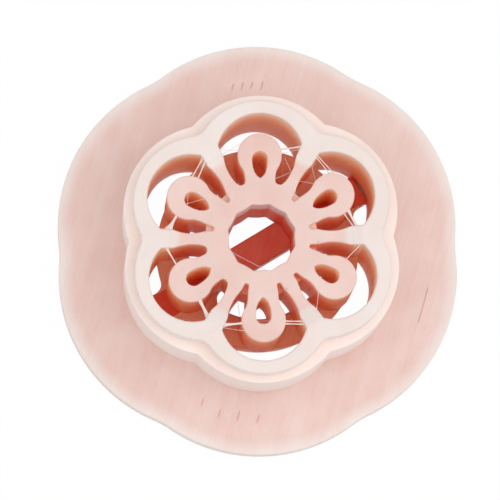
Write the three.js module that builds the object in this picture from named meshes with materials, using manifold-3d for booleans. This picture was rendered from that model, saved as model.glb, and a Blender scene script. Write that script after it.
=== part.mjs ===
// Flower fondant cutter, a plastic print that lies on its wide flange with the cutting edge up.
// Millimetres, +Z up. The origin is under the middle of the flange, and one petal points along +X.
// The real cutter is a single print: each mesh here is one feature of it, with a seam to the next.
import * as THREE from 'three';
import { mergeVertices } from 'three/addons/utils/BufferGeometryUtils.js';
import Module from 'manifold-3d';

const wasm = await Module();
wasm.setup();

// Heights, stacked upwards from the table
const FLANGE_THICKNESS = 2.2;
const SHOULDER_HEIGHT = 8; // thick wall, from the flange up
const BLADE_HEIGHT = 1.8; // thin cutting edge, from the shoulder up
const SUPPORT_THICKNESS = 2.2; // ring and bar under the stamp
const STAMP_RECESS = 0.8; // stamp face below the cutting edge
const LEDGE_DROP = 3; // small ledge in the hub's bore below the stamp face

// Stamp, from the axis outwards
const HUB_BORE_RADIUS = 3.15; // to the points between the bore's scallops, above the ledge
const SCALLOP_DEPTH = 0.15; // how far each scallop bulges into the bore
const LEDGE_WIDTH = 0.1; // how much narrower the bore is below the ledge
const HUB_WALL = 1.35;
const LOOP_LENGTH = 5.12; // hub's outside to the tip of a loop
const LOOP_LINE = 1.34; // width of the line that the loop is drawn with
const LOOP_NECK = 2.76; // width where it leaves the hub
const LOOP_ROUND_END = (125 * Math.PI) / 180; // turn from the tip to where the round goes over into the neck
const LOOP_HOLE_RADIUS = 0.7; // round end of the leaf-shaped hole
const LOOP_HOLE_SETBACK = 0.33; // hole's round end, back from the middle of the loop's round
const LOOP_ROOT = 0.7; // inner end of the loop to the point of its hole
const SPOKE_WIDTH = 1.02; // at its waist, halfway out
const SPOKE_FLARE = 0.3; // wider than the waist at both ends, on each side

// Ring and bar at the base that carry the stamp
const RING_WIDTH = 2.9;
const RING_FILLET = 1.2; // round in each corner between ring and bar
const LOOP_OVERHANG = 0.22; // tip of a loop past the ring
const BAR_WIDTH = 2.8;

// Flower wall and flange
const PETALS = 6; // rounded to whole petals
const PETAL_GAP = 1.76; // tip of a loop to the inside of the wall
const CUSP_DEPTH = 3.38; // how far the wall comes in between two petals
const CUSP_WIDTH = 1.76; // of the blunt nose that the wall has there
const CUSP_ROUND = 0.45; // round corners of the nose
const CUSP_SIDE = 0.78; // straight side of the nose, up to the round of a petal
const BLADE_THICKNESS = 1.22;
const BLADE_LOBE_RADIUS = 6.2; // outside of the blade at a petal
const BLADE_DIP_RADIUS = 1.5; // hollow round between two petals
const SHOULDER_STEP = 0.68; // shoulder past the blade at the petals
const SHOULDER_LOBE_RADIUS = 8; // so full that the step is wider between two petals
const SHOULDER_DIP_RADIUS = 0.6;
const FLANGE_WIDTH = 5.87; // flange past the shoulder at the petals
const FLANGE_LOBE_RADIUS = 14.65;
const FLANGE_DIP_RADIUS = 10;

// Gap between pieces that meet on curved or turned faces, and steps in a drawn arc
const SEAM = 0.3;
const CURVE_STEPS = 6;

// Sizes that follow
const petalCount = Math.round(PETALS);
const SECTOR = (2 * Math.PI) / petalCount;
const HALF_SECTOR = SECTOR / 2;
const shoulderTop = FLANGE_THICKNESS + SHOULDER_HEIGHT;
const cutterHeight = shoulderTop + BLADE_HEIGHT;
const stampTop = cutterHeight - STAMP_RECESS;
const ledgeHeight = stampTop - LEDGE_DROP;
const hubRadius = HUB_BORE_RADIUS + HUB_WALL;
const rootRadius = hubRadius + SEAM;
const loopTip = hubRadius + LOOP_LENGTH;
const loopRadius = LOOP_HOLE_RADIUS + LOOP_LINE;
const loopCentre = loopTip - loopRadius;
const ringOuter = loopTip - LOOP_OVERHANG;
const ringInner = ringOuter - RING_WIDTH;
const petalTip = loopTip + PETAL_GAP;
const cuspRadius = petalTip - CUSP_DEPTH;
const noseSide = CUSP_WIDTH / 2;
const noseCorner = { along: cuspRadius + CUSP_ROUND, aside: noseSide - CUSP_ROUND };
const noseRoot = noseCorner.along + CUSP_SIDE;
const rootReach = noseRoot * Math.cos(HALF_SECTOR) + noseSide * Math.sin(HALF_SECTOR);
const petalCentre = (petalTip ** 2 - noseRoot ** 2 - noseSide ** 2) / (2 * (petalTip - rootReach));
const petalRadius = petalTip - petalCentre;
const bladeTip = petalTip + BLADE_THICKNESS;
const shoulderTip = bladeTip + SHOULDER_STEP;
const flangeTip = shoulderTip + FLANGE_WIDTH;
const barSide = BAR_WIDTH / 2;
const barEnd = petalCentre + Math.sqrt(petalRadius ** 2 - barSide ** 2);

// Point given along a dip axis and to the left of it
function fromDipAxis(dip, along, aside) {
  return {
    x: along * Math.cos(dip) - aside * Math.sin(dip),
    y: along * Math.sin(dip) + aside * Math.cos(dip),
  };
}

// Half the angle that a petal's round covers, up to a point given along the dip axis and to the right of it
function petalHalfAngle(lobeCentre, along, aside = 0) {
  const end = fromDipAxis(HALF_SECTOR, along, -aside);
  return Math.atan2(end.y, end.x - lobeCentre);
}

// Outside outline: a round at each petal, and a hollow round between each two
function wavyOutline(tip, lobeRadius, dipRadius) {
  const outline = new THREE.Shape();
  const lobeCentre = tip - lobeRadius;
  const reach = Math.sqrt((lobeRadius + dipRadius) ** 2 - (lobeCentre * Math.sin(HALF_SECTOR)) ** 2);
  const dipCentre = lobeCentre * Math.cos(HALF_SECTOR) + reach;
  const half = petalHalfAngle(lobeCentre, dipCentre);
  for (let petal = 0; petal < petalCount; petal += 1) {
    const turn = petal * SECTOR;
    const dip = turn + HALF_SECTOR;
    outline.absarc(
      lobeCentre * Math.cos(turn), lobeCentre * Math.sin(turn), lobeRadius, turn - half, turn + half, false);
    outline.absarc(
      dipCentre * Math.cos(dip), dipCentre * Math.sin(dip), dipRadius,
      turn + half + Math.PI, turn + SECTOR - half + Math.PI, true);
  }
  outline.closePath();
  return outline;
}

// Inside outline: the rounds of the petals, with a blunt nose between each two, drawn back by the inset given.
// A petal whose flat is over zero ends in a straight land of that half width, for the bar.
function cuspedOutline(inset, flatOf = () => 0) {
  const outline = new THREE.Shape();
  const radius = petalRadius - inset;
  const corner = CUSP_ROUND + inset;
  const side = petalCentre * Math.sin(HALF_SECTOR) - noseSide - inset;
  const root = petalCentre * Math.cos(HALF_SECTOR) + Math.sqrt(radius ** 2 - side ** 2);
  const half = petalHalfAngle(petalCentre, root, noseSide + inset);
  for (let petal = 0; petal < petalCount; petal += 1) {
    const turn = petal * SECTOR;
    const x = petalCentre * Math.cos(turn);
    const y = petalCentre * Math.sin(turn);
    const land = Math.asin(flatOf(petal) / radius);
    const dip = turn + HALF_SECTOR;
    outline.absarc(x, y, radius, turn - half, turn - land, false);
    outline.absarc(x, y, radius, turn + land, turn + half, false);
    const right = fromDipAxis(dip, noseCorner.along, -noseCorner.aside);
    const left = fromDipAxis(dip, noseCorner.along, noseCorner.aside);
    outline.absarc(right.x, right.y, corner, dip - Math.PI / 2, dip - Math.PI, true);
    outline.absarc(left.x, left.y, corner, dip + Math.PI, dip + Math.PI / 2, true);
  }
  outline.closePath();
  return outline;
}

// The bar ends in the petals on the X axis: an odd count has one there, and a cusp across from it
function barLand(petal) {
  return petal === 0 || 2 * petal === petalCount ? barSide : 0;
}

function extruded(outline, bottom, top, holes = []) {
  outline.holes.push(...holes);
  const options = { depth: top - bottom, bevelEnabled: false, curveSegments: CURVE_STEPS };
  return new THREE.ExtrudeGeometry(outline, options).translate(0, 0, bottom);
}

// Booleans
function solidOf(geometry) {
  const bare = geometry.clone();
  bare.deleteAttribute('normal');
  bare.deleteAttribute('uv');
  const merged = mergeVertices(bare);
  const vertProperties = new Float32Array(merged.attributes.position.array);
  const triVerts = new Uint32Array(merged.index.array);
  return new wasm.Manifold(new wasm.Mesh({ numProp: 3, vertProperties, triVerts }));
}

function geometryOf(solid) {
  const mesh = solid.getMesh();
  const indexed = new THREE.BufferGeometry();
  indexed.setAttribute('position', new THREE.BufferAttribute(new Float32Array(mesh.vertProperties), 3));
  indexed.setIndex(new THREE.BufferAttribute(new Uint32Array(mesh.triVerts), 1));
  const flat = indexed.toNonIndexed();
  flat.computeVertexNormals();
  return flat;
}

function within(outline, geometry) {
  const opening = solidOf(extruded(outline, -SEAM, cutterHeight + SEAM));
  return geometryOf(solidOf(geometry).intersect(opening));
}

// What stands inside the flower keeps a seam to its wall
function clearOfWall(geometry) {
  return within(cuspedOutline(SEAM), geometry);
}

// Flange with the flower opening and a flat land for each end of the bar
function flangePlate() {
  const outline = wavyOutline(flangeTip, FLANGE_LOBE_RADIUS, FLANGE_DIP_RADIUS);
  return extruded(outline, 0, FLANGE_THICKNESS, [cuspedOutline(0, barLand)]);
}

function shoulderWall() {
  const outline = wavyOutline(shoulderTip, SHOULDER_LOBE_RADIUS, SHOULDER_DIP_RADIUS);
  return extruded(outline, FLANGE_THICKNESS, shoulderTop, [cuspedOutline(0)]);
}

function bladeWall() {
  const outline = wavyOutline(bladeTip, BLADE_LOBE_RADIUS, BLADE_DIP_RADIUS);
  return extruded(outline, shoulderTop, cutterHeight, [cuspedOutline(0)]);
}

function bridgeBar() {
  const bar = new THREE.BoxGeometry(2 * barEnd, BAR_WIDTH, SUPPORT_THICKNESS);
  return within(cuspedOutline(0, barLand), bar.translate(0, 0, SUPPORT_THICKNESS / 2));
}

// Half of the ring, on the +Y side of the bar for no turn, with a fillet in its four corners to the bar
function halfRing(turn) {
  const y = barSide + RING_FILLET;
  const outerX = Math.sqrt((ringOuter + RING_FILLET) ** 2 - y ** 2);
  const innerX = Math.sqrt((ringInner - RING_FILLET) ** 2 - y ** 2);
  const outerStart = Math.atan2(y, outerX);
  const innerStart = Math.atan2(y, innerX);
  const down = -Math.PI / 2;
  const outline = new THREE.Shape();
  outline.absarc(outerX, y, RING_FILLET, down, outerStart - Math.PI, true);
  outline.absarc(0, 0, ringOuter, outerStart, Math.PI - outerStart, false);
  outline.absarc(-outerX, y, RING_FILLET, -outerStart, down, true);
  outline.absarc(-innerX, y, RING_FILLET, down, -Math.PI - innerStart, true);
  outline.absarc(0, 0, ringInner, Math.PI - innerStart, innerStart, true);
  outline.absarc(innerX, y, RING_FILLET, innerStart, down, true);
  outline.closePath();
  return clearOfWall(extruded(outline, 0, SUPPORT_THICKNESS).rotateZ(turn));
}

function circle(radius) {
  const outline = new THREE.Shape();
  for (let petal = 0; petal < petalCount; petal += 1) {
    outline.absarc(0, 0, radius, petal * SECTOR, (petal + 1) * SECTOR, false);
  }
  outline.closePath();
  return outline;
}

// Bore of the hub, out to the radius given: a bulge inwards at the root of each loop and each spoke
function scallopedBore(radius) {
  const bore = new THREE.Path();
  const count = 2 * petalCount;
  const step = (2 * Math.PI) / count;
  const chordMiddle = radius * Math.cos(step / 2);
  const pull = 2 * (radius - SCALLOP_DEPTH) - chordMiddle;
  const pointAt = (index) => (index - 0.5) * step;
  bore.moveTo(radius * Math.cos(pointAt(0)), radius * Math.sin(pointAt(0)));
  for (let index = 0; index < count; index += 1) {
    const next = pointAt(index + 1);
    bore.quadraticCurveTo(
      pull * Math.cos(index * step), pull * Math.sin(index * step),
      radius * Math.cos(next), radius * Math.sin(next));
  }
  bore.closePath();
  return bore;
}

function upperHub() {
  return extruded(circle(hubRadius), ledgeHeight, stampTop, [scallopedBore(HUB_BORE_RADIUS)]);
}

function lowerHub() {
  const bore = scallopedBore(HUB_BORE_RADIUS - LEDGE_WIDTH);
  return extruded(circle(hubRadius), SUPPORT_THICKNESS, ledgeHeight, [bore]);
}

// Loop along +X: a neck that widens into the round of the head
function petalLoop() {
  const neckSide = LOOP_NECK / 2;
  const neckTurn = Math.asin(neckSide / rootRadius);
  const neckStart = rootRadius * Math.cos(neckTurn);
  const headEnd = {
    x: loopCentre + loopRadius * Math.cos(LOOP_ROUND_END),
    y: loopRadius * Math.sin(LOOP_ROUND_END),
  };
  const bendX = headEnd.x + (headEnd.y - neckSide) * Math.tan(LOOP_ROUND_END);
  const outline = new THREE.Shape();
  outline.absarc(0, 0, rootRadius, neckTurn, -neckTurn, true);
  outline.quadraticCurveTo(bendX, -neckSide, headEnd.x, -headEnd.y);
  outline.absarc(loopCentre, 0, loopRadius, -LOOP_ROUND_END, LOOP_ROUND_END, false);
  outline.quadraticCurveTo(bendX, neckSide, neckStart, neckSide);
  outline.closePath();
  const holePoint = rootRadius + LOOP_ROOT;
  const holeCentre = loopCentre - LOOP_HOLE_SETBACK;
  const holeMiddle = (holePoint + holeCentre) / 2;
  const hole = new THREE.Path();
  hole.absarc(holeCentre, 0, LOOP_HOLE_RADIUS, -Math.PI / 2, Math.PI / 2, false);
  hole.quadraticCurveTo(holeMiddle, LOOP_HOLE_RADIUS, holePoint, 0);
  hole.quadraticCurveTo(holeMiddle, -LOOP_HOLE_RADIUS, holeCentre, -LOOP_HOLE_RADIUS);
  hole.closePath();
  return extruded(outline, SUPPORT_THICKNESS, stampTop, [hole]);
}

// Waisted spoke along the dip axis next to +X, from the hub to the cusp of the wall
function spoke() {
  const end = cuspRadius;
  const middle = (rootRadius + end) / 2;
  const endSide = SPOKE_WIDTH / 2 + SPOKE_FLARE;
  const pull = SPOKE_WIDTH / 2 - SPOKE_FLARE;
  const outline = new THREE.Shape();
  outline.moveTo(rootRadius, -endSide);
  outline.quadraticCurveTo(middle, -pull, end, -endSide);
  outline.lineTo(end, endSide);
  outline.quadraticCurveTo(middle, pull, rootRadius, endSide);
  outline.closePath();
  return clearOfWall(extruded(outline, SUPPORT_THICKNESS, stampTop).rotateZ(HALF_SECTOR));
}

// Colours as they show in daylight: the thin upper walls look paler than the thick plate
const FLANGE_COLOUR = 0xe0beb5;
const SHOULDER_COLOUR = 0xf4ded4;
const BLADE_COLOUR = 0xf0e3dd;
const STAMP_COLOUR = 0xeed0c8;
const SUPPORT_COLOUR = 0xe0b0a0;
const PLASTIC_ROUGHNESS = 0.5;

const cutter = new THREE.Group();

function addPiece(name, geometry, colour, turn = 0) {
  const material = new THREE.MeshStandardMaterial({ color: colour, roughness: PLASTIC_ROUGHNESS, metalness: 0 });
  const piece = new THREE.Mesh(geometry, material);
  piece.name = name;
  piece.rotation.z = turn;
  cutter.add(piece);
}

addPiece('base_flange', flangePlate(), FLANGE_COLOUR);
addPiece('shoulder_wall', shoulderWall(), SHOULDER_COLOUR);
addPiece('cutting_blade', bladeWall(), BLADE_COLOUR);
addPiece('bridge_bar', bridgeBar(), SUPPORT_COLOUR);
addPiece('support_ring_back', halfRing(0), SUPPORT_COLOUR);
addPiece('support_ring_front', halfRing(Math.PI), SUPPORT_COLOUR);
addPiece('hub_lower', lowerHub(), STAMP_COLOUR);
addPiece('hub_upper', upperHub(), STAMP_COLOUR);
for (let petal = 0; petal < petalCount; petal += 1) {
  addPiece(`petal_loop_${petal + 1}`, petalLoop(), STAMP_COLOUR, petal * SECTOR);
  addPiece(`spoke_${petal + 1}`, spoke(), STAMP_COLOUR, petal * SECTOR);
}

export default cutter;
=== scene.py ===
import math

import bmesh
import bpy
import numpy as np
from mathutils import Matrix, Vector
from mathutils.geometry import tessellate_polygon


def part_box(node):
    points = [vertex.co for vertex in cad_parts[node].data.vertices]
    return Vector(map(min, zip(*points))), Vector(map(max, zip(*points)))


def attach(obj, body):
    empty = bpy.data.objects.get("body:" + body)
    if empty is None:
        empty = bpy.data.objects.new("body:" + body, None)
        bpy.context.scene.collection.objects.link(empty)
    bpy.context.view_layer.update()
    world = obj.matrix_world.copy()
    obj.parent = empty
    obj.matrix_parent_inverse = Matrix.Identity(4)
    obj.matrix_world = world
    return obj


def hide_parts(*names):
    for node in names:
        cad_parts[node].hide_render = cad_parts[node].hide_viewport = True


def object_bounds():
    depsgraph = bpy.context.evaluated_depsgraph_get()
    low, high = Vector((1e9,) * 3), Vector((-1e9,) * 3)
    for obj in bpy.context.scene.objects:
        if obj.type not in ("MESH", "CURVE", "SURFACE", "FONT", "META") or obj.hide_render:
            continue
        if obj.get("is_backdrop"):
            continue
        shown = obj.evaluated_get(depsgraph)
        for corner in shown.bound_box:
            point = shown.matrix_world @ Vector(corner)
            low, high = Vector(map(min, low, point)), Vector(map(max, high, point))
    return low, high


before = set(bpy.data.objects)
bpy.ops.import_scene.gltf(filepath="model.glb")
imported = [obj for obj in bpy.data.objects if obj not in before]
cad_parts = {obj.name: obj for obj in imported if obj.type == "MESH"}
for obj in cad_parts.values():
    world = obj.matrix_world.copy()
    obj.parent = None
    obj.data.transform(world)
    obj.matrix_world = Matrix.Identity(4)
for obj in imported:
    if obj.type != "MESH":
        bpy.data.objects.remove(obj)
cad_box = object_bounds()

MM = 0.001


def corners(node):
    low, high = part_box(node)
    return np.array(low) / MM, np.array(high) / MM


PETALS = 6
SECTOR = 2 * math.pi / PETALS
DIP = SECTOR / 2  # from the middle of a petal to the dip beside it

# Heights and reaches that the frame gives
flange_tip, _, flange_top = corners("base_flange")[1]
shoulder_tip, _, shoulder_top = corners("shoulder_wall")[1]
blade_tip, _, rim = corners("cutting_blade")[1]
bar_end, bar_side, support_top = corners("bridge_bar")[1]
ledge, stamp_top = corners("hub_upper")[0][2], corners("hub_upper")[1][2]
loop_tip, loop_radius, _ = corners("petal_loop_1")[1]

# Flower wall and flange
BLADE_THICKNESS = 1.22  # at the tip of a petal
BLADE_LOBE_RADIUS = 6.2
BLADE_DIP_RADIUS = 1.5
SHOULDER_LOBE_RADIUS = 8.0
SHOULDER_DIP_RADIUS = 0.6
PETAL_RADIUS = 4.0  # inside the wall
FLANGE_LOBE_RADIUS = 14.65
FLANGE_DIP_RADIUS = 10.0
NOSE_ROOT_SIDE = 0.92  # half width of the wall's nose between two petals, where it leaves the wall
NOSE_END_SIDE = 0.86  # half width before its round end
NOSE_BEND = 8.5
NOSE_TIP = 8.05
RAMP_TOP = 9.2  # from here inwards its top slopes down, and on along the spoke that it meets
RAMP_FOOT = 7.2
petal_centre = blade_tip - BLADE_THICKNESS - PETAL_RADIUS

# Stamp
ROOT = 5.15  # hub's outside, which the loops and spokes grow from and the slots between them end at
SLOT_ROUND = 0.2
NECK_SIDE = 1.38  # half width of a loop where it leaves the hub
HEAD_END = math.radians(125)  # turn from a loop's tip to where its round goes over into the neck
HOLE_RADIUS = 0.7
HOLE_SETBACK = 0.33
HOLE_POINT = 5.5
HOLE_FULLNESS = 0.35  # its sides bend towards the point this far before it
BORE_RADIUS = 3.15
SCALLOP_DEPTH = 0.15
SPOKE_WAIST = 0.51  # half width, halfway out
SPOKE_MIDDLE = 6.42
SPOKE_FLARE = 0.117  # more half width, by the square of the distance from the middle
SPOKE_END = 8.7  # inside the nose of the wall
SPOKE_INSET = 0.02  # of its sides in the nose
SPOKE_RISE_END = 8.3  # level from here on, under the nose
SPOKE_RISE_STEPS = 9
loop_centre = loop_tip - loop_radius
hole_centre = loop_centre - HOLE_SETBACK

# Ring at the base that carries the stamp
RING_OUTER = 9.4
RING_INNER = 6.5
RING_FILLET = 1.2  # round in each corner between ring and bar
BASE_LIFT = 0.02  # ring and bar above the flange's underside, which they run into

# Print: layers, lines and softened edges
LAYER = 0.2
LAYER_GROOVE = 0.022
LINE = 0.42
LINE_GROOVE = 0.03
EDGE = 0.14
RIM_EDGE = 0.22
HOLD = 0.04  # flat strip next to a wall or a rounded edge, so that the face beside it keeps its own shade
LINE_RUNOUT = 0.4  # share of a line after the last groove, where the face is level again
SPACING = 0.32  # between the points of an outline
FINE = 0.12
CURVE_STEPS = 12  # points on a long curve
END_STEPS = 6  # points on a short one
WALL_ROWS = 9  # rings up a plain wall
EDGE_ROWS = 4  # rings round a softened edge
SHARP_ANGLE = math.radians(42)  # edges with a greater turn are not smoothed
DECIMALS = 6  # places of a point are told apart to this many decimals
# Painted glow and shade: inside the print, the colour is painted more saturated with depth below the face,
# fully so at WALL_DEPTH in the wall and at STAMP_DEPTH in the stamp
WALL_DEPTH = 2.0  # fully so at this depth
STAMP_DEPTH = 0.6
RIM_PALE = 1.0  # painted light: from the cutting edge down, the blade is painted paler than the rest of the wall
BORE_PALE = 2.4  # painted light: the bore is painted pale down to this depth
BORE_DEPTH = 3.8  # and painted fully dark, as painted shade, at this one
BORE_PALER = 0.3  # painted light: how much paler than the stamp's face its upper part is painted


# Outlines

def arc(centre, radius, start, end, spacing=SPACING):
    """Points on an arc, without its end."""
    count = max(3, round(abs(end - start) * radius / spacing))
    angles = np.linspace(start, end, count, endpoint=False)
    return np.column_stack((centre[0] + radius * np.cos(angles), centre[1] + radius * np.sin(angles)))


def line(start, end, spacing=SPACING):
    """Points on a line, without its end."""
    start, end = np.array(start), np.array(end)
    count = max(1, round(np.linalg.norm(end - start) / spacing))
    return start + np.linspace(0, 1, count, endpoint=False)[:, None] * (end - start)


def bend(start, control, end, steps=CURVE_STEPS):
    """Points on a curve that leaves start and reaches end along the lines to control, without its end."""
    start, control, end = np.array(start), np.array(control), np.array(end)
    t = np.linspace(0, 1, steps, endpoint=False)[:, None]
    return (1 - t) ** 2 * start + 2 * t * (1 - t) * control + t**2 * end


def polar(radius, angle):
    return np.array((radius * math.cos(angle), radius * math.sin(angle)))


def turned(points, angle):
    turn = np.array(((math.cos(angle), math.sin(angle)), (-math.sin(angle), math.cos(angle))))
    return np.asarray(points) @ turn


def all_round(sector):
    return np.vstack([turned(sector, petal * SECTOR) for petal in range(PETALS)])


def as_hole(outline):
    """Runs the other way, so that the print is on the left of every outline."""
    return outline[::-1]


def smooth(share):
    share = np.clip(share, 0, 1)
    return share * share * (3 - 2 * share)


def wavy_outline(tip, lobe_radius, dip_radius):
    """Outside outline: a round at each petal and a hollow round between each two."""
    lobe_centre = tip - lobe_radius
    reach = math.sqrt((lobe_radius + dip_radius) ** 2 - (lobe_centre * math.sin(DIP)) ** 2)
    dip_centre = lobe_centre * math.cos(DIP) + reach
    half = math.atan2(dip_centre * math.sin(DIP), dip_centre * math.cos(DIP) - lobe_centre)
    lobe = arc((lobe_centre, 0), lobe_radius, -half, half)
    hollow = arc(polar(dip_centre, DIP), dip_radius, half + math.pi, SECTOR - half + math.pi, FINE)
    return all_round(np.vstack((lobe, hollow)))


def nose_flank():
    """One side of a nose along +X, from the wall inwards, without its tip."""
    aside = petal_centre * math.sin(DIP) - NOSE_ROOT_SIDE
    root = (petal_centre * math.cos(DIP) + math.sqrt(PETAL_RADIUS**2 - aside**2), -NOSE_ROOT_SIDE)
    side = line(root, (NOSE_BEND, -NOSE_END_SIDE), FINE)
    end = bend((NOSE_BEND, -NOSE_END_SIDE), (NOSE_TIP, -NOSE_END_SIDE), (NOSE_TIP, 0), END_STEPS)
    return np.vstack((side, end))


def flower_opening():
    """Inside outline: the rounds of the petals with a nose between each two."""
    inwards = nose_flank()
    outwards = np.vstack(([(NOSE_TIP, 0)], inwards[:0:-1] * (1, -1)))
    leave = turned(inwards[0], DIP)
    half = math.atan2(leave[1], leave[0] - petal_centre)
    petal = arc((petal_centre, 0), PETAL_RADIUS, -half, half)
    return all_round(np.vstack((petal, turned(np.vstack((inwards, outwards)), DIP))))


SHARPEST = -0.6  # cosine of a corner's turn below which it is moved no further
STRAIGHT = 0.9  # cosine above which a corner at the end of a joined edge stays where it is
LEAST_SINE_SQUARED = 0.05  # keeps the shift of nearly straight corners short


def inset(outline, distance, joined=None):
    """The outline moved into the print. Edges that are joined to a neighbour stay where they are."""
    if distance == 0:
        return outline
    along = np.roll(outline, -1, axis=0) - outline
    along /= np.linalg.norm(along, axis=1)[:, None]
    after = np.column_stack((-along[:, 1], along[:, 0]))
    before = np.roll(after, 1, axis=0)
    cosine = np.clip(np.sum(before * after, axis=1), SHARPEST, 1.0)[:, None]
    shift = (before + after) * (distance / (1 + cosine))
    if joined is not None:
        moved = np.where(joined, 0.0, distance)
        moved_before = np.roll(moved, 1)
        sine_squared = np.maximum(1 - cosine**2, LEAST_SINE_SQUARED)
        meet = (moved_before[:, None] - moved[:, None] * cosine) / sine_squared * before
        meet += (moved[:, None] - moved_before[:, None] * cosine) / sine_squared * after
        corner = moved != moved_before
        shift[corner] = np.where(cosine[corner] > STRAIGHT, 0.0, meet[corner])
        shift[(moved == 0) & (moved_before == 0)] = 0
    return outline + shift


# Meshes

def turn_outwards(mesh):
    """Makes every face of a closed mesh look outwards."""
    shape = bmesh.new()
    shape.from_mesh(mesh)
    bmesh.ops.recalc_face_normals(shape, faces=shape.faces)
    if shape.calc_volume(signed=True) < 0:
        bmesh.ops.reverse_faces(shape, faces=shape.faces)
    shape.to_mesh(mesh)
    shape.free()


class Shell:
    """A closed mesh in the making: its points and faces, and at each point its painted glow and shade,
    which grow with how deep inside the print it lies, and its painted light, which makes it paler than the
    rest."""

    def __init__(self):
        self.numbers = {}
        self.points = []
        self.faces = []
        self.glow_and_shade = []
        self.painted_light = []

    def add(self, points, glow_and_shade, painted_light):
        """Numbers of the points. A place that already has a point keeps it, with its painted glow, shade
        and light.
        """
        shades = np.broadcast_to(glow_and_shade, len(points)), np.broadcast_to(painted_light, len(points))
        laid = []
        for place, *shade in zip(np.round(points, DECIMALS).tolist(), *shades):
            place = tuple(place)
            if place not in self.numbers:
                self.numbers[place] = len(self.points)
                self.points.append(place)
                self.glow_and_shade.append(shade[0])
                self.painted_light.append(shade[1])
            laid.append(self.numbers[place])
        return laid

    def face(self, *numbers):
        """Adds a face, unless its corners are only one or two places."""
        places = tuple(dict.fromkeys(numbers))
        if len(places) > 2:
            self.faces.append(places)

    def ring(self, outline, height, glow_and_shade=0.0, painted_light=0.0):
        heights = np.broadcast_to(height, len(outline))
        return self.add(np.column_stack((outline, heights)), glow_and_shade, painted_light)

    def band(self, lower, upper):
        for i in range(len(lower)):
            j = (i + 1) % len(lower)
            self.face(lower[i], lower[j], upper[j], upper[i])

    def sweep(self, rings):
        """Joins rings of (outline, height, painted glow and shade, painted light) from the bottom up.
        Returns the first and last.
        """
        laid = [self.ring(*ring) for ring in rings]
        for lower, upper in zip(laid, laid[1:]):
            self.band(lower, upper)
        return laid[0], laid[-1]

    def cap(self, rings):
        """Fills a flat face between rings."""
        loops = [[Vector((*self.points[i][:2], 0)) for i in ring] for ring in rings]
        order = [i for ring in rings for i in ring]
        for triangle in tessellate_polygon(loops):
            self.face(*(order[i] for i in triangle))

    def tube(self, path, radii, most_height, sides=8):
        """A closed thread along a path, with its own radius at each point, flat where it is wide, painted
        pale all over as painted light.
        """
        along = np.gradient(path, axis=0)
        along /= np.linalg.norm(along, axis=1)[:, None]
        aside = np.cross(along, (0, 0, 1))
        aside /= np.linalg.norm(aside, axis=1)[:, None]
        above = np.cross(along, aside)
        turns = np.linspace(0, 2 * math.pi, sides, endpoint=False)[:, None]
        laid = []
        for middle, radius, side, up in zip(path, radii, aside, above):
            across = radius * np.cos(turns) * side
            upwards = min(radius, most_height / 2) * np.sin(turns) * up
            laid.append(self.add(middle + across + upwards, 0.0, 1.0))
        for lower, upper in zip(laid, laid[1:]):
            self.band(lower, upper)
        self.face(*reversed(laid[0]))
        self.face(*laid[-1])

    def cover(self, run):
        """Covers a narrow stretch of a ring, with points alike on both sides, by strips across it."""
        for i in range((len(run) - 1) // 2):
            self.face(run[i], run[i + 1], run[-2 - i], run[-1 - i])

    def close(self, ends):
        """Caps the bottom and the top of outlines that were swept together."""
        self.cap([first for first, _ in ends])
        self.cap([last for _, last in ends])

    def piece(self, name, slot, node=None):
        mesh = bpy.data.meshes.new(name)
        mesh.from_pydata([tuple(MM * x for x in point) for point in self.points], [], self.faces)
        mesh.attributes.new("glow_and_shade", "FLOAT", "POINT").data.foreach_set("value", self.glow_and_shade)
        mesh.attributes.new("painted_light", "FLOAT", "POINT").data.foreach_set("value", self.painted_light)
        turn_outwards(mesh)
        mesh.polygons.foreach_set("use_smooth", [True] * len(mesh.polygons))
        mesh.set_sharp_from_angle(angle=SHARP_ANGLE)
        mesh.materials.append(PLASTICS[slot])
        piece = bpy.data.objects.new(name, mesh)
        bpy.context.scene.collection.objects.link(piece)
        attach(piece, "root")
        if node:
            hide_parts(node)


def layered_heights(bottom, top):
    """(inset, height) of a wall with a groove between each two layers."""
    count = 2 * max(1, round((top - bottom) / LAYER))
    steps = np.linspace(bottom, top, count + 1)
    return [(LAYER_GROOVE if i % 2 == 0 else 0.0, height) for i, height in enumerate(steps)]


def plain_heights(bottom, top):
    """(inset, height) of a wall inside the print, closer together towards its top."""
    shares = np.linspace(1, 0, WALL_ROWS) ** 2
    return [(0.0, top - (top - bottom) * share) for share in shares]


def rounded_edge(top, radius):
    """(inset, height) round an upper edge and onto the face."""
    turns = np.linspace(0, math.pi / 2, EDGE_ROWS)
    edge = [(radius * (1 - math.cos(a)), top - radius * (1 - math.sin(a))) for a in turns]
    return edge + [(radius + HOLD, top)]


def softened(bottom, top, radius=EDGE, heights=plain_heights):
    """(inset, height) of a wall with a rounded upper edge."""
    return heights(bottom, top - radius) + rounded_edge(top, radius)[1:]


def printed_lines(top, start, count):
    """(inset, height) of lines laid side by side on a flat face, each with a groove after it."""
    profile = []
    for number in range(count):
        profile.append((start + (number + 0.5) * LINE, top))
        profile.append((start + (number + 1) * LINE, top - LINE_GROOVE))
    return profile + [(start + (count + LINE_RUNOUT) * LINE, top)]


def outer_rings(outline, profile):
    return [(inset(outline, distance), height) for distance, height in profile]


def inner_rings(outline, profile, face, depth, joined=None, shade=1.0):
    """Rings of a wall inside the print, painted with glow and shade that are full at a depth below the
    face.
    """
    return [
        (inset(outline, distance, joined), height, shade * smooth((face - height) / depth))
        for distance, height in profile
    ]


def slot_rings(outline, profile, joined=None):
    return inner_rings(outline, profile, stamp_top, STAMP_DEPTH, joined, SLOT_SHADE)


def pale_rim(rings):
    """The blade's rings, painted paler towards its cutting edge as painted light."""
    for outline, height, *glow_and_shade in rings:
        yield outline, height, *(glow_and_shade or [0.0]), smooth(1 - (rim - height) / RIM_PALE)


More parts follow.
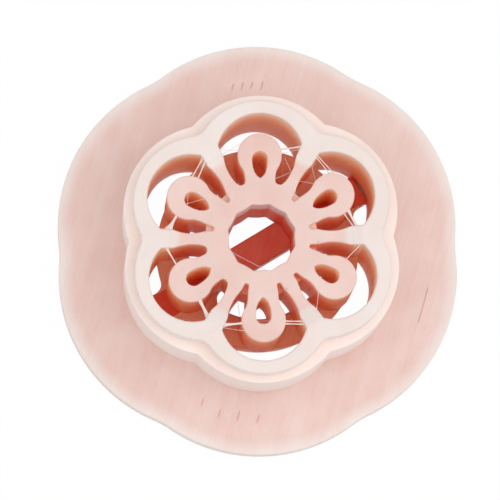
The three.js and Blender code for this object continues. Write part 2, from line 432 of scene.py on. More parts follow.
def opening_rings(outline, bottom, top):
    """Rings of the flower opening, with a strip on the faces above and below that keeps their own painted
    shade.
    """
    strip = inset(outline, HOLD)
    wall = inner_rings(outline, plain_heights(bottom, top), rim, WALL_DEPTH)
    return [(strip, bottom), *wall, (strip, top)]


# Materials

# Colour of each plastic. The wall's is painted paler, as painted light for light shining through its thin
# plastic
PALE = {
    "flange_plastic": (0.84, 0.61, 0.555),
    "wall_plastic": (0.98, 0.83, 0.77),
    "stamp_plastic": (0.845, 0.605, 0.545),
    "support_plastic": (0.84, 0.61, 0.555),
}
# Painted light: the paler colour for light that shines through thin plastic at edges, rims and strings
PAINTED_LIGHT_COLOUR = (0.88, 0.77, 0.725)
# Painted glow: brighter colours for light that shines through the plastic deep inside the print
PAINTED_GLOW = {
    "flange_plastic": (1.0, 0.78, 0.56),
    "wall_plastic": (1.0, 0.80, 0.54),
    "stamp_plastic": (1.0, 0.80, 0.60),
    "support_plastic": (1.0, 0.80, 0.60),
}
# Painted shade: dark red where little light reaches, deep in the bore, the slots and on the bar
PAINTED_SHADE = (0.86, 0.20, 0.11)
RASTER_ANGLE = math.radians(43)
RASTER_PITCH = 0.444
WAVE_PERIOD = math.pi / 10  # of a wave texture at scale 1
LINE_WANDER = 0.6
LINE_WANDER_SCALE = 0.3
NOISE_LOW, NOISE_HIGH = 0.3, 0.7  # most of a noise texture lies between these
CLOUDS = {"scale": 0.3, "detail": 3.0, "low": 0.88, "high": 1.12}
STREAKS = {"scale": 0.6, "detail": 2.0, "low": 0.92, "high": 1.08}
GRAIN = {"scale": 4.0, "detail": 4.0, "low": 0.0, "high": 1.0}
RASTER_STRETCH = (0.06, 1 / RASTER_PITCH, 1 / LAYER)  # long along the print lines
LAYER_STRETCH = (0.15, 0.15, 1 / LAYER)  # long along the layers
FLAT = 0.9  # faces that look up or down more than this have no layer lines
GRAIN_SHARE = 0.25
BUMP_STRENGTH = 0.5
BUMP_HEIGHT = 0.02
LEAST_ROUGH, MOST_ROUGH = 0.42, 0.6
GLOW = 0.1  # light that spreads inside the print
GLOW_REACH = (1.0, 0.3, 0.15)
REFRACTION = 1.46


def socket(node, name, value):
    node.inputs[name].default_value = value


def plastic(slot, raster):
    material = bpy.data.materials.new(slot)
    material.use_nodes = True
    tree = material.node_tree
    tree.nodes.clear()

    def add(kind, **settings):
        node = tree.nodes.new(kind)
        for name, value in settings.items():
            setattr(node, name, value)
        return node

    def link(start, end):
        tree.links.new(start, end)

    def noise(vector, scale, detail, low, high):
        """Cloudy numbers from low to high."""
        cloud = add("ShaderNodeTexNoise")
        socket(cloud, "Scale", scale)
        socket(cloud, "Detail", detail)
        link(vector, cloud.inputs["Vector"])
        spread = add("ShaderNodeMapRange")
        socket(spread, "From Min", NOISE_LOW)
        socket(spread, "From Max", NOISE_HIGH)
        socket(spread, "To Min", low)
        socket(spread, "To Max", high)
        link(cloud.outputs["Fac"], spread.inputs["Value"])
        return spread.outputs["Result"]

    shader = add("ShaderNodeBsdfPrincipled")
    output = add("ShaderNodeOutputMaterial")
    link(shader.outputs["BSDF"], output.inputs["Surface"])

    place = add("ShaderNodeTexCoord")
    in_mm = add("ShaderNodeMapping")
    socket(in_mm, "Scale", (1 / MM, 1 / MM, 1 / MM))
    link(place.outputs["Object"], in_mm.inputs["Vector"])
    along_raster = add("ShaderNodeMapping")
    socket(along_raster, "Rotation", (0, 0, -RASTER_ANGLE))
    link(in_mm.outputs["Vector"], along_raster.inputs["Vector"])

    # Colour: paler at thin edges as painted light, more saturated in depth as painted glow and shade,
    # with soft clouds and streaks along the print. Shades from 0 to 1 go to the painted glow colour and on
    # to 2 to the painted shade colour, those down to -1 straight to it.
    paler = add("ShaderNodeMix", data_type="RGBA")
    paler.inputs[6].default_value = (*PALE[slot], 1)
    paler.inputs[7].default_value = (*PAINTED_LIGHT_COLOUR, 1)
    link(add("ShaderNodeAttribute", attribute_name="painted_light").outputs["Fac"], paler.inputs["Factor"])
    deeper = add("ShaderNodeMix", data_type="RGBA")
    deeper.inputs[7].default_value = (*PAINTED_GLOW[slot], 1)
    glow_and_shade = add("ShaderNodeAttribute", attribute_name="glow_and_shade").outputs["Fac"]
    link(glow_and_shade, deeper.inputs["Factor"])
    link(paler.outputs[2], deeper.inputs[6])
    past_deep = add("ShaderNodeMath", operation="SUBTRACT")
    past_deep.inputs[1].default_value = 1.0
    link(glow_and_shade, past_deep.inputs[0])
    below_pale = add("ShaderNodeMath", operation="MULTIPLY")
    below_pale.inputs[1].default_value = -1.0
    link(glow_and_shade, below_pale.inputs[0])
    either = add("ShaderNodeMath", operation="MAXIMUM")
    link(past_deep.outputs["Value"], either.inputs[0])
    link(below_pale.outputs["Value"], either.inputs[1])
    deepest = add("ShaderNodeMix", data_type="RGBA")
    deepest.inputs[7].default_value = (*PAINTED_SHADE, 1)
    link(either.outputs["Value"], deepest.inputs["Factor"])
    link(deeper.outputs[2], deepest.inputs[6])
    stretch = add("ShaderNodeMapping")
    socket(stretch, "Scale", RASTER_STRETCH if raster else LAYER_STRETCH)
    link(along_raster.outputs["Vector"], stretch.inputs["Vector"])
    both = add("ShaderNodeMath", operation="MULTIPLY")
    link(noise(in_mm.outputs["Vector"], **CLOUDS), both.inputs[0])
    link(noise(stretch.outputs["Vector"], **STREAKS), both.inputs[1])
    varied = add("ShaderNodeGamma")
    link(deepest.outputs[2], varied.inputs["Color"])
    link(both.outputs["Value"], varied.inputs["Gamma"])
    link(varied.outputs["Color"], shader.inputs["Base Color"])

    # Surface: layer lines on the walls, print lines on the flat faces and a fine grain
    layers = add("ShaderNodeTexWave", wave_type="BANDS", bands_direction="Z", wave_profile="SIN")
    socket(layers, "Scale", WAVE_PERIOD / LAYER)
    link(in_mm.outputs["Vector"], layers.inputs["Vector"])
    lines = add("ShaderNodeTexWave", wave_type="BANDS", bands_direction="Y", wave_profile="SIN")
    socket(lines, "Scale", WAVE_PERIOD / RASTER_PITCH)
    socket(lines, "Distortion", LINE_WANDER)
    socket(lines, "Detail Scale", LINE_WANDER_SCALE)
    link(along_raster.outputs["Vector"], lines.inputs["Vector"])
    normal = add("ShaderNodeNewGeometry")
    facing = add("ShaderNodeSeparateXYZ")
    link(normal.outputs["True Normal"], facing.inputs["Vector"])
    upright = add("ShaderNodeMath", operation="ABSOLUTE")
    link(facing.outputs["Z"], upright.inputs[0])
    flat = add("ShaderNodeMath", operation="GREATER_THAN")
    flat.inputs[1].default_value = FLAT
    link(upright.outputs["Value"], flat.inputs[0])
    pattern = add("ShaderNodeMix", data_type="FLOAT")
    link(flat.outputs["Value"], pattern.inputs["Factor"])
    link(layers.outputs["Fac"], pattern.inputs[2])
    if raster:
        link(lines.outputs["Fac"], pattern.inputs[3])
    grain = noise(in_mm.outputs["Vector"], **GRAIN)
    height = add("ShaderNodeMath", operation="MULTIPLY_ADD")
    height.inputs[1].default_value = GRAIN_SHARE
    link(grain, height.inputs[0])
    link(pattern.outputs[0], height.inputs[2])
    bump = add("ShaderNodeBump")
    socket(bump, "Strength", BUMP_STRENGTH)
    socket(bump, "Distance", BUMP_HEIGHT * MM)
    link(height.outputs["Value"], bump.inputs["Height"])
    link(bump.outputs["Normal"], shader.inputs["Normal"])

    rough = add("ShaderNodeMapRange")
    socket(rough, "To Min", LEAST_ROUGH)
    socket(rough, "To Max", MOST_ROUGH)
    link(grain, rough.inputs["Value"])
    link(rough.outputs["Result"], shader.inputs["Roughness"])
    socket(shader, "Subsurface Weight", GLOW)
    socket(shader, "Subsurface Radius", GLOW_REACH)
    socket(shader, "Subsurface Scale", MM)
    socket(shader, "IOR", REFRACTION)
    return material


PLASTICS = {
    "flange_plastic": plastic("flange_plastic", raster=True),
    "wall_plastic": plastic("wall_plastic", raster=False),
    "stamp_plastic": plastic("stamp_plastic", raster=False),
    "support_plastic": plastic("support_plastic", raster=True),
}

# Flange, with three lines round its edge, an opening for the flower and gaps where print lines turn
EDGE_LINES = 3
FOOT = 0.15  # bevel round the underside
PIT_POINTS = 16
PIT_WIDTH = 0.13
PIT_DEPTH = 0.12
# Painted shade in the gaps, darker than the face
PIT_FLOOR_SHADE = -0.08
PIT_EDGE_SHADE = -0.02
PITS = (  # middle and length of each gap, along the print lines
    ((6.0, 14.3), 0.7),
    ((6.8, 13.9), 0.8),
    ((7.6, 13.5), 0.7),
    ((8.4, 13.0), 0.8),
    ((-11.8, -9.5), 0.8),
    ((-11.0, -11.2), 0.8),
    ((-9.6, -12.3), 1.0),
    ((-8.2, -13.5), 0.9),
    ((10.5, -12.4), 3.5),
)


def pit_outline(middle, length):
    angles = np.linspace(0, 2 * math.pi, PIT_POINTS, endpoint=False)
    leaf = np.column_stack((length / 2 * np.cos(angles), PIT_WIDTH / 2 * np.sin(angles)))
    return turned(leaf, RASTER_ANGLE) + middle


def flange_edge(outline):
    """Rings round the flange's edge, painted paler at the edge itself as painted light."""
    band = EDGE + (EDGE_LINES + LINE_RUNOUT) * LINE
    profile = [(band, 0.0), (FOOT, 0.0), (0.0, FOOT)]
    profile += softened(FOOT, flange_top, EDGE, layered_heights)
    profile += printed_lines(flange_top, EDGE, EDGE_LINES)
    return [
        (inset(outline, distance), height, 0.0, smooth(1 - distance / band))
        for distance, height in profile
    ]


def make_flange():
    shell = Shell()
    outside = wavy_outline(flange_tip, FLANGE_LOBE_RADIUS, FLANGE_DIP_RADIUS)
    edge_bottom, edge_top = shell.sweep(flange_edge(outside))
    opening_bottom, opening_top = shell.sweep(opening_rings(as_hole(flower_opening()), 0, flange_top))
    pit_tops = []
    for middle, length in PITS:
        outline = as_hole(pit_outline(middle, length))
        pit_floor, pit_top = shell.sweep((
            (outline, flange_top - PIT_DEPTH, PIT_FLOOR_SHADE),
            (outline, flange_top, PIT_EDGE_SHADE),
            (inset(outline, HOLD), flange_top),
        ))
        shell.cap([pit_floor])
        pit_tops.append(pit_top)
    shell.cap([edge_bottom, opening_bottom])
    shell.cap([edge_top, opening_top, *pit_tops])
    shell.piece("flange_print", "flange_plastic", "base_flange")


# Walls: the thick shoulder with a ledge, and the thin blade on it
def make_shoulder():
    shell = Shell()
    outside = wavy_outline(shoulder_tip, SHOULDER_LOBE_RADIUS, SHOULDER_DIP_RADIUS)
    profile = softened(flange_top, shoulder_top, EDGE, layered_heights)
    shell.close([
        shell.sweep(outer_rings(outside, profile)),
        shell.sweep(opening_rings(as_hole(flower_opening()), flange_top, shoulder_top)),
    ])
    shell.piece("shoulder_print", "wall_plastic", "shoulder_wall")


def ramp(reach):
    """Height of the slope from the cutting edge down to the stamp."""
    return stamp_top + (rim - stamp_top) * np.clip((reach - RAMP_FOOT) / (RAMP_TOP - RAMP_FOOT), 0, 1)


def sloped(rings):
    """The blade's rings, with the top of each nose sloping down to its tip."""
    for outline, height, *shade in rings:
        share = (height - shoulder_top) / (rim - shoulder_top)
        drop = rim - ramp(np.linalg.norm(outline, axis=1))
        yield outline, height - share * drop, *shade


def cover_noses(shell, ring):
    """Covers the noses, and returns the ring without them."""
    count = 2 * len(nose_flank()) - 1
    rest = []
    for sector in np.reshape(ring, (PETALS, -1)).tolist():
        shell.cover(sector[:count])
        rest += [sector[0], *sector[count - 1:]]
    return rest


def make_blade():
    shell = Shell()
    outside = wavy_outline(blade_tip, BLADE_LOBE_RADIUS, BLADE_DIP_RADIUS)
    outer_profile = softened(shoulder_top, rim, RIM_EDGE, layered_heights)
    inner_profile = softened(shoulder_top, rim, RIM_EDGE)
    opening = as_hole(flower_opening())
    outer_bottom, outer_top = shell.sweep(pale_rim(outer_rings(outside, outer_profile)))
    inner_rows = sloped(pale_rim(inner_rings(opening, inner_profile, rim, WALL_DEPTH)))
    inner_bottom, inner_top = shell.sweep(inner_rows)
    shell.cap([outer_bottom, inner_bottom])
    shell.cap([outer_top, cover_noses(shell, inner_top)])
    shell.piece("blade_print", "wall_plastic", "cutting_blade")


# Ring and bar at the base, pale underneath like the flange; on top and sides the bar carries painted shade
# and the ring painted glow
BAR_SHADE = 2.0
RING_SHADE = 1.0


def support_rings(outline, shade, joined=None):
    profile = softened(BASE_LIFT, support_top)
    rings = [(inset(outline, distance, joined), height, shade) for distance, height in profile]
    return [(inset(outline, HOLD, joined), BASE_LIFT, 0.0), *rings]


def make_bar():
    shell = Shell()
    outline = np.array((bar_end, bar_side)) * ((1, -1), (1, 1), (-1, 1), (-1, -1))
    shell.close([shell.sweep(support_rings(outline, BAR_SHADE))])
    shell.piece("bar_print", "support_plastic", "bridge_bar")


def half_ring_outline():
    """The ring on the +Y side of the bar, round in its corners, and which edges are joined to the bar."""
    aside = bar_side + RING_FILLET
    outer_along = math.sqrt((RING_OUTER + RING_FILLET) ** 2 - aside**2)
    inner_along = math.sqrt((RING_INNER - RING_FILLET) ** 2 - aside**2)
    outer_start = math.atan2(aside, outer_along)
    inner_start = math.atan2(aside, inner_along)
    down = -math.pi / 2
    stretches = (
        arc((outer_along, aside), RING_FILLET, down, outer_start - math.pi),
        arc((0, 0), RING_OUTER, outer_start, math.pi - outer_start),
        arc((-outer_along, aside), RING_FILLET, -outer_start, down),
        [(-outer_along, bar_side)],
        arc((-inner_along, aside), RING_FILLET, down, -math.pi - inner_start),
        arc((0, 0), RING_INNER, math.pi - inner_start, inner_start),
        arc((inner_along, aside), RING_FILLET, inner_start, down),
        [(inner_along, bar_side)],
    )
    at_bar = (False, False, False, True) * 2
    return np.vstack(stretches), np.repeat(at_bar, [len(stretch) for stretch in stretches])


def make_half_ring(name, node, turn):
    outline, joined = half_ring_outline()
    shell = Shell()
    shell.close([shell.sweep(support_rings(turned(outline, turn), RING_SHADE, joined))])
    shell.piece(name, "support_plastic", node)


# Stamp: the hub, and the loops and spokes that grow from it.
# Some slots go on into the hub, down to a floor that the print has filled them up to.
SHALLOW = 0.7
SUNK = 2.5
SLOT_FLOORS = {  # (petal, side of its loop): depth of the floor
    (0, 1): SHALLOW,
    (0, -1): SHALLOW,
    (2, 1): SHALLOW,
    (2, -1): SHALLOW,
    (4, 1): SUNK,
    (4, -1): SUNK,
    (5, 1): SUNK,
    (5, -1): SUNK,
}
FLOOR_END = 4.45  # reach of such a slot's inner end
FLOOR_TAPER = 0.2
# Painted glow and shade in the stamp: up to 1 painted glow, beyond 1 and below 0 painted shade
FLOOR_SHADE = 0.0  # of the shallow floors, none, like the stamp's face
SLOT_SHADE = 1.4
HOLE_SHADE = 1.0
BORE_SHADE = -1.0
SLOT_POINTS = 16
BORE_POINTS = 24  # to a petal


def spoke_half_width(reach):
    """Half the width of a spoke, narrowest halfway out and hidden in the nose at its end."""
    flared = SPOKE_WAIST + SPOKE_FLARE * (reach - SPOKE_MIDDLE) ** 2
    return np.minimum(flared, NOSE_END_SIDE - SPOKE_INSET)


neck_turn = math.asin(NECK_SIDE / ROOT)
spoke_turn = math.asin(spoke_half_width(ROOT) / ROOT)


def corner_round(petal, side):
    """Fillet in a slot's end, which a slot that goes on into the hub lacks."""
    return 0.0 if (petal % PETALS, side) in SLOT_FLOORS else SLOT_ROUND


def loop_root_angle(petal, side):
    return neck_turn + corner_round(petal, side) / ROOT


def spoke_root_angle(petal, side):
    """From the axis of the spoke that stands on this side of a petal to the slot between them."""
    return spoke_turn + corner_round(petal, side) / ROOT


def slot_end(start, end, inner_reach):
    """The hub's outside in a slot between two angles: blunt, and narrower inwards."""
    turns = np.linspace(math.pi, 0, SLOT_POINTS, endpoint=False)
    inwards = np.sqrt(np.sin(turns))
    across = np.sign(np.cos(turns)) * np.sqrt(np.abs(np.cos(turns)))
    angle = (start + end) / 2 + (end - start) / 2 * across * (1 - FLOOR_TAPER * inwards)
    radius = ROOT - (ROOT - inner_reach) * inwards
    return np.column_stack((radius * np.cos(angle), radius * np.sin(angle)))


def hub_outline(depth):
    """The hub's outside at this depth, and which of its edges are joined to loops and spokes."""
    edges = []
    joined = []

    def root(start, end):
        edges.append(arc((0, 0), ROOT, start, end, FINE))
        joined.extend([True] * len(edges[-1]))

    def slot(start, end, petal, side):
        is_open = SLOT_FLOORS.get((petal % PETALS, side), 0) >= depth
        edges.append(slot_end(start, end, FLOOR_END if is_open else ROOT))
        joined.extend([False] * SLOT_POINTS)

    for petal in range(PETALS):
        axis = petal * SECTOR
        dip = axis + DIP
        loop_end = axis + loop_root_angle(petal, 1)
        spoke_start = dip - spoke_root_angle(petal, 1)
        spoke_end = dip + spoke_root_angle(petal + 1, -1)
        next_loop = axis + SECTOR - loop_root_angle(petal + 1, -1)
        root(axis - loop_root_angle(petal, -1), loop_end)
        slot(loop_end, spoke_start, petal, 1)
        root(spoke_start, spoke_end)
        slot(spoke_end, next_loop, petal + 1, -1)
    return np.vstack(edges), np.array(joined)


def scalloped_bore():
    angles = np.linspace(0, 2 * math.pi, BORE_POINTS * PETALS, endpoint=False)
    reach = BORE_RADIUS - SCALLOP_DEPTH * np.abs(np.cos(PETALS * angles))
    return as_hole(np.column_stack((reach * np.cos(angles), reach * np.sin(angles))))


def bore_rings(profile):
    """Rings of the bore, painted pale below its edge as painted light and dark further down as painted
    shade.
    """
    outline = scalloped_bore()
    for distance, height in profile:
        depth = stamp_top - height
        dark = smooth((depth - BORE_PALE) / (BORE_DEPTH - BORE_PALE))
        painted_light = BORE_PALER * smooth(depth / EDGE) * (1 - dark)
        yield inset(outline, distance), height, BORE_SHADE * dark, painted_light


def hub_rings():
    """Rings of the upper hub's outside, with a floor where slots that go on into it end."""
    plain, joined = hub_outline(math.inf)
    below = stamp_top - SUNK
    rings = slot_rings(plain, plain_heights(ledge, below))
    sunk, _ = hub_outline(SUNK)
    above = stamp_top - SHALLOW
    rings += slot_rings(sunk, plain_heights(below, above))
    outline, height, shade = rings.pop()
    shallow, _ = hub_outline(SHALLOW)
    is_floor = np.any(shallow != sunk, axis=1)
    rings.append((outline, height, np.where(is_floor, FLOOR_SHADE, shade)))
    rings.append((shallow, height, np.where(is_floor, FLOOR_SHADE, shade)))
    return rings + slot_rings(shallow, softened(above, stamp_top)[1:], joined)


def make_hub():
    upper = Shell()
    upper.close([upper.sweep(hub_rings()), upper.sweep(bore_rings(softened(ledge, stamp_top)))])
    upper.piece("hub_print", "stamp_plastic", "hub_upper")
    lower = Shell()
    lower_heights = plain_heights(support_top, ledge)
    plain, _ = hub_outline(math.inf)
    lower.close([
        lower.sweep(slot_rings(plain, lower_heights)),
        lower.sweep(bore_rings(lower_heights)),
    ])
    lower.piece("hub_lower_print", "stamp_plastic", "hub_lower")


def flare_steps(petal, side):
    """Number of points round the fillet in a slot's end."""
    return END_STEPS if corner_round(petal, side) else 0


def root_flare(petal, side, angle, start):
    """Points from the hub's outside round the fillet in a slot's end, up to where its side starts."""
    fillet = corner_round(petal, side)
    if fillet == 0:
        return np.empty((0, 2))
    return bend(polar(ROOT, angle + fillet / ROOT), polar(ROOT, angle), start, END_STEPS)


def at_hub(outline, root, right_flare, left_flare):
    """Which edges of a loop or spoke are joined to the hub: its root and the fillets on both sides."""
    numbers = np.arange(len(outline))
    return (numbers < len(root) + right_flare) | (numbers >= len(outline) - left_flare)


def loop_flank(petal, side):
    """One side of a loop along +X, from the hub along the neck to the head's round, drawn on the left."""
    start = polar(ROOT, neck_turn) + (corner_round(petal, side), 0)
    head = np.array((loop_centre, 0)) + polar(loop_radius, HEAD_END)
    control = (head[0] + (head[1] - NECK_SIDE) * math.tan(HEAD_END), NECK_SIDE)
    return np.vstack((root_flare(petal, side, neck_turn, start), bend(start, control, head), [head]))


def loop_outline(petal):
    """Loop along +X, and which of its edges are joined to the hub."""
    root = arc((0, 0), ROOT, loop_root_angle(petal, 1), -loop_root_angle(petal, -1), FINE)
    right = loop_flank(petal, -1) * (1, -1)
    head = arc((loop_centre, 0), loop_radius, -HEAD_END, HEAD_END, FINE)
    left = loop_flank(petal, 1)[:0:-1]
    outline = np.vstack((root, right[:-1], head, left))
    return outline, at_hub(outline, root, flare_steps(petal, -1), flare_steps(petal, 1))


def loop_hole():
    """Leaf-shaped hole, with its point towards the hub."""
    full = HOLE_POINT + HOLE_FULLNESS
    end = arc((hole_centre, 0), HOLE_RADIUS, -math.pi / 2, math.pi / 2, FINE)
    left = bend((hole_centre, HOLE_RADIUS), (full, HOLE_RADIUS), (HOLE_POINT, 0))
    right = bend((HOLE_POINT, 0), (full, -HOLE_RADIUS), (hole_centre, -HOLE_RADIUS))
    return np.vstack((end, left, right))


def make_loop(petal):
    turn = petal * SECTOR
    outline, joined = loop_outline(petal)
    hole = turned(as_hole(loop_hole()), turn)
    profile = softened(support_top, stamp_top)
    shell = Shell()
    shell.close([
        shell.sweep(slot_rings(turned(outline, turn), profile, joined)),
        shell.sweep(inner_rings(hole, profile, stamp_top, STAMP_DEPTH, shade=HOLE_SHADE)),
    ])
    shell.piece(f"loop_print_{petal + 1}", "stamp_plastic", f"petal_loop_{petal + 1}")


def spoke_flank(petal, side):
    """The flank of a spoke along +X that faces this side of a petal, from the hub outwards, on the left."""
    first = ROOT + corner_round(petal, side)
    risen = np.linspace(RAMP_FOOT, SPOKE_END, SPOKE_RISE_STEPS)
    reaches = np.append(np.arange(first, RAMP_FOOT, SPACING), risen)
    curve = np.column_stack((reaches, spoke_half_width(reaches)))
    return np.vstack((root_flare(petal, side, spoke_turn, curve[0]), curve))


def spoke_outline(petal):
    """Spoke along +X between this petal and the next, and which of its edges are joined to the hub."""
    root = arc((0, 0), ROOT, spoke_root_angle(petal + 1, -1), -spoke_root_angle(petal, 1), FINE)
    right = spoke_flank(petal, 1) * (1, -1)
    left = spoke_flank(petal + 1, -1)[:0:-1]
    outline = np.vstack((root, right, left))
    return outline, at_hub(outline, root, flare_steps(petal, 1), flare_steps(petal + 1, -1))


def make_spoke(petal):
    """A spoke, which rises on the slope of the nose that it meets and is painted as pale as the wall there,
    as painted light.
    """
    outline, joined = spoke_outline(petal)
    reach = outline[:, 0]
    painted_light = smooth((reach - RAMP_FOOT) / (NOSE_TIP - RAMP_FOOT))
    rise = ramp(np.minimum(reach, SPOKE_RISE_END)) - stamp_top
    placed = turned(outline, petal * SECTOR + DIP)
    rings = slot_rings(placed, softened(support_top, stamp_top), joined)
    shell = Shell()
    bottom, top = shell.sweep(
        (ring, height + rise * (height - support_top) / (stamp_top - support_top), shade, painted_light)
        for ring, height, shade in rings)
    shell.cap([bottom])
    shell.cover([point for point, at in zip(top, reach) if at >= RAMP_FOOT])
    shell.cap([[point for point, at in zip(top, reach) if at <= RAMP_FOOT]])
    shell.piece(f"spoke_print_{petal + 1}", "stamp_plastic", f"spoke_{petal + 1}")


# Strings the print head drew from the wall's noses to the loops, and across the bore; painted pale as
# painted light
NOSE_STRINGS = (  # dip, side of its axis, reach on the nose and on the loop, thickness at both ends
    (0, 1, 9.1, 8.0, 0.25, 0.18),
    (0, 1, 8.8, 7.7, 0.06, 0.06),
    (0, -1, 9.1, 8.4, 0.14, 0.12),
    (0, -1, 8.9, 8.2, 0.14, 0.12),
    (1, 1, 9.0, 8.1, 0.2, 0.14),
    (1, 1, 8.6, 7.7, 0.2, 0.16),
    (1, -1, 8.9, 8.0, 0.08, 0.06),
    (1, -1, 8.4, 8.4, 0.08, 0.06),
    (2, 1, 8.7, 7.9, 0.3, 0.16),
    (2, -1, 8.5, 7.75, 0.85, 0.16),
    (3, 1, 8.7, 7.8, 0.42, 0.25),
    (3, 1, 9.0, 8.3, 0.06, 0.05),
    (3, -1, 8.75, 7.8, 0.5, 0.38),
    (4, 1, 8.2, 7.0, 0.08, 0.06),
    (4, -1, 8.8, 7.9, 0.2, 0.16),
    (4, -1, 8.5, 7.7, 0.2, 0.16),
    (5, -1, 9.0, 7.7, 0.12, 0.1),
    (5, 1, 8.7, 8.0, 0.3, 0.35),
    (5, 1, 8.4, 7.6, 0.15, 0.12),
)
FREE_STRINGS = (  # reach and degrees of both ends, and depth below the face
    ((BORE_RADIUS, 172), (BORE_RADIUS, 250), 0.4),
    ((BORE_RADIUS, 140), (BORE_RADIUS, 166), 0.4),
    ((BORE_RADIUS, 150), (BORE_RADIUS, 178), 0.5),
    ((5.65, 45), (6.72, 34), 0.3),
    ((7.59, 42), (6.62, 34), 0.3),
    ((6.33, 24), (6.94, 15), 0.3),
    ((8.11, 24), (7.09, 14), 0.3),
    ((6.4, 115), (7.65, 125), 0.3),
    ((7.4, 125), (7.9, 117), 0.3),
    ((7.7, 235), (7.7, 245), 0.2),
    ((7.9, 235.5), (7.9, 244.5), 0.2),
    ((5.2, 216), (7.0, 225), 7.0),
)
FREE_THICKNESS = 0.05
BEADS = ((80, 0.2), (63, 0.16), (52, 0.24))  # degrees round the tip of the first loop, thickness; beads of plastic painted pale as a painted highlight
BEAD_BLUNT = 0.01  # keeps the ends of a bead from closing to a point
STRING_POINTS = 10
STRING_SAG = 0.08
STRING_PINCH = 0.4  # thinner in the middle by this share
STRING_HOLD = 0.06  # end inside what carries it
STRING_HEIGHT = 0.16  # wider strings are flat films


def string_between(shell, start, end, start_thickness, end_thickness):
    share = np.linspace(0, 1, STRING_POINTS)
    hold = STRING_HOLD / np.linalg.norm(end - start)
    path = start + (share * (1 + 2 * hold) - hold)[:, None] * (end - start)
    belly = np.sin(math.pi * share)
    path[:, 2] -= STRING_SAG * belly
    thickness = (start_thickness + (end_thickness - start_thickness) * share) * (1 - STRING_PINCH * belly)
    shell.tube(path, thickness / 2, STRING_HEIGHT)


def make_strings():
    shell = Shell()
    for dip, side, nose_reach, loop_reach, nose_thickness, loop_thickness in NOSE_STRINGS:
        turn = dip * SECTOR + DIP
        beside = polar(loop_centre, DIP)
        loop_aside = beside[1] - math.sqrt(loop_radius**2 - (loop_reach - beside[0]) ** 2)
        start = turned((nose_reach, side * NOSE_END_SIDE), turn)
        end = turned((loop_reach, side * loop_aside), turn)
        string_between(
            shell, np.append(start, stamp_top), np.append(end, stamp_top - EDGE),
            nose_thickness, loop_thickness)
    for *ends, depth in FREE_STRINGS:
        start, end = (np.append(polar(reach, math.radians(at)), stamp_top - depth) for reach, at in ends)
        string_between(shell, start, end, FREE_THICKNESS, FREE_THICKNESS)
    for at, thickness in BEADS:
        share = np.linspace(-1, 1, STRING_POINTS)
        angles = math.radians(at) + share * thickness / loop_radius
        around = np.column_stack((loop_centre + loop_radius * np.cos(angles), loop_radius * np.sin(angles)))
        path = np.column_stack((around, np.full(STRING_POINTS, stamp_top - EDGE / 2)))
        shell.tube(path, thickness / 2 * np.sqrt(1 + BEAD_BLUNT - share**2), thickness)
    shell.piece("print_strings", "stamp_plastic")


make_flange()
make_shoulder()
make_blade()
make_bar()
make_half_ring("ring_print_back", "support_ring_back", 0)
make_half_ring("ring_print_front", "support_ring_front", math.pi)
make_hub()
for petal in range(PETALS):
    make_loop(petal)
    make_spoke(petal)
make_strings()

# Camera, at the photograph's angle
VIEW_DISTANCE = 471.0  # to the middle of the cutting edge
VIEW_TILT = math.radians(7.6)  # off straight down
TILT_DIRECTION = math.radians(72)  # where the cutter's axis points in the picture, from the right
BAR_DIRECTION = math.radians(31.5)  # where the bar points in the picture
RIM_SCALE = 10.965  # pixels to a millimetre at the cutting edge
RIM_MIDDLE = (262.2, 236.2)  # pixel of the middle of the cutting edge
PHOTO_SIZE = 500
SENSOR = 36.0
NEAREST = 10.0  # what is closer to the camera isn't shown


def make_camera():
    axis = Vector((
        math.sin(VIEW_TILT) * math.cos(TILT_DIRECTION),
        math.sin(VIEW_TILT) * math.sin(TILT_DIRECTION),
        math.cos(VIEW_TILT),
    ))
    bar = Vector((math.cos(BAR_DIRECTION), math.sin(BAR_DIRECTION), 0))
    bar = (bar - axis * bar.dot(axis)).normalized()
    to_world = Matrix((bar, axis.cross(bar), axis))
    seen_at = Vector((
        (RIM_MIDDLE[0] - PHOTO_SIZE / 2) / RIM_SCALE,
        (PHOTO_SIZE / 2 - RIM_MIDDLE[1]) / RIM_SCALE,
        -VIEW_DISTANCE,
    ))
    lens = bpy.data.cameras.new("photo_camera")
    lens.sensor_width = SENSOR
    lens.lens = SENSOR * RIM_SCALE * VIEW_DISTANCE / PHOTO_SIZE
    lens.clip_start = NEAREST * MM
    camera = bpy.data.objects.new("photo_camera", lens)
    middle = Vector((0, 0, rim))
    camera.matrix_world = Matrix.Translation((middle - to_world @ seen_at) * MM) @ to_world.to_4x4()
    bpy.context.scene.collection.objects.link(camera)
    bpy.context.scene.camera = camera


make_camera()

# Stage: a white floor that shows white to the camera and keeps a soft shadow
FLOOR_REACH = 600.0
FLOOR_GAP = 0.02  # under the cutter, so that the two faces don't fall together
FLOOR_COLOUR = (0.9, 0.9, 0.9, 1)
FLOOR_WHITE = 0.98
WHITE = (1, 1, 1, 1)


def seen_directly(tree):
    """1 for the camera and for what gloss or glass shows, and 0 for the light that falls on the object."""
    path = tree.nodes.new("ShaderNodeLightPath")
    seen = path.outputs["Is Camera Ray"]
    for ray in ("Is Glossy Ray", "Is Transmission Ray"):
        either = tree.nodes.new("ShaderNodeMath")
        either.operation = "MAXIMUM"
        tree.links.new(seen, either.inputs[0])
        tree.links.new(path.outputs[ray], either.inputs[1])
        seen = either.outputs["Value"]
    return seen


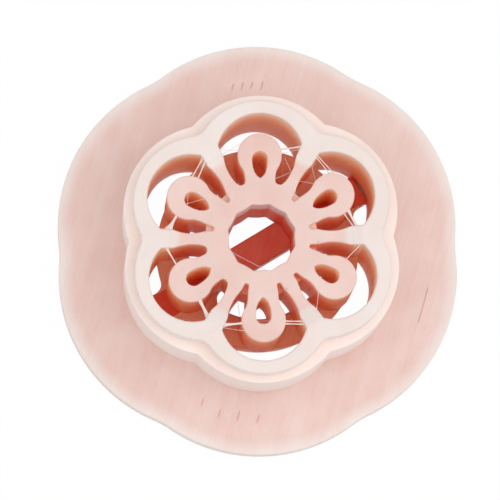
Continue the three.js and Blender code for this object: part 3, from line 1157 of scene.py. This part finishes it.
def make_floor():
    reach = FLOOR_REACH * MM
    mesh = bpy.data.meshes.new("floor")
    square = ((-1, -1), (1, -1), (1, 1), (-1, 1))
    mesh.from_pydata([(x * reach, y * reach, -FLOOR_GAP * MM) for x, y in square], [], [(0, 1, 2, 3)])
    material = bpy.data.materials.new("floor_white")
    material.use_nodes = True
    tree = material.node_tree
    tree.nodes.clear()
    matt = tree.nodes.new("ShaderNodeBsdfDiffuse")
    socket(matt, "Color", FLOOR_COLOUR)
    white = tree.nodes.new("ShaderNodeEmission")
    socket(white, "Color", WHITE)
    share = tree.nodes.new("ShaderNodeMath")
    share.operation = "MULTIPLY"
    share.inputs[1].default_value = FLOOR_WHITE
    tree.links.new(seen_directly(tree), share.inputs[0])
    both = tree.nodes.new("ShaderNodeMixShader")
    tree.links.new(share.outputs["Value"], both.inputs["Fac"])
    tree.links.new(matt.outputs["BSDF"], both.inputs[1])
    tree.links.new(white.outputs["Emission"], both.inputs[2])
    output = tree.nodes.new("ShaderNodeOutputMaterial")
    tree.links.new(both.outputs["Shader"], output.inputs["Surface"])
    mesh.materials.append(material)
    floor = bpy.data.objects.new("floor", mesh)
    bpy.context.scene.collection.objects.link(floor)
    floor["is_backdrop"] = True


make_floor()

# Light: an even white room and four large soft lamps
ROOM_LIGHT = 0.62
LIGHT_BOUNCES = 110  # between the walls of the slots, which deepen the colour there
LAMP_SIZE = 160.0
LAMPS = {  # place and power
    "right_lamp": ((95.0, -60.0, 190.0), 0.105),
    "left_lamp": ((-90.0, 55.0, 200.0), 0.057),
    "front_lamp": ((-75.0, -125.0, 110.0), 0.026),
    "top_lamp": ((-10.0, -15.0, 215.0), 0.035),
}


def make_room():
    world = bpy.data.worlds.new("white_room")
    bpy.context.scene.world = world
    world.use_nodes = True
    tree = world.node_tree
    tree.nodes.clear()
    room = tree.nodes.new("ShaderNodeBackground")
    socket(room, "Color", WHITE)
    socket(room, "Strength", ROOM_LIGHT)
    backdrop = tree.nodes.new("ShaderNodeBackground")
    socket(backdrop, "Color", WHITE)
    both = tree.nodes.new("ShaderNodeMixShader")
    tree.links.new(seen_directly(tree), both.inputs["Fac"])
    tree.links.new(room.outputs["Background"], both.inputs[1])
    tree.links.new(backdrop.outputs["Background"], both.inputs[2])
    output = tree.nodes.new("ShaderNodeOutputWorld")
    tree.links.new(both.outputs["Shader"], output.inputs["Surface"])


def make_lamp(name, place, power):
    area = bpy.data.lights.new(name, "AREA")
    area.size = LAMP_SIZE * MM
    area.energy = power
    lamp = bpy.data.objects.new(name, area)
    lamp.location = Vector(place) * MM
    lamp.rotation_euler = Vector(place).to_track_quat("Z", "Y").to_euler()
    bpy.context.scene.collection.objects.link(lamp)


make_room()
for name, (place, power) in LAMPS.items():
    make_lamp(name, place, power)
bpy.context.scene.view_settings.view_transform = "Standard"
bpy.context.scene.cycles.max_bounces = LIGHT_BOUNCES
bpy.context.scene.cycles.diffuse_bounces = LIGHT_BOUNCES

visual_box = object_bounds()
boxes = {"cad": cad_box, "visual": visual_box}
{name: [list(corner) for corner in box] for name, box in boxes.items()}
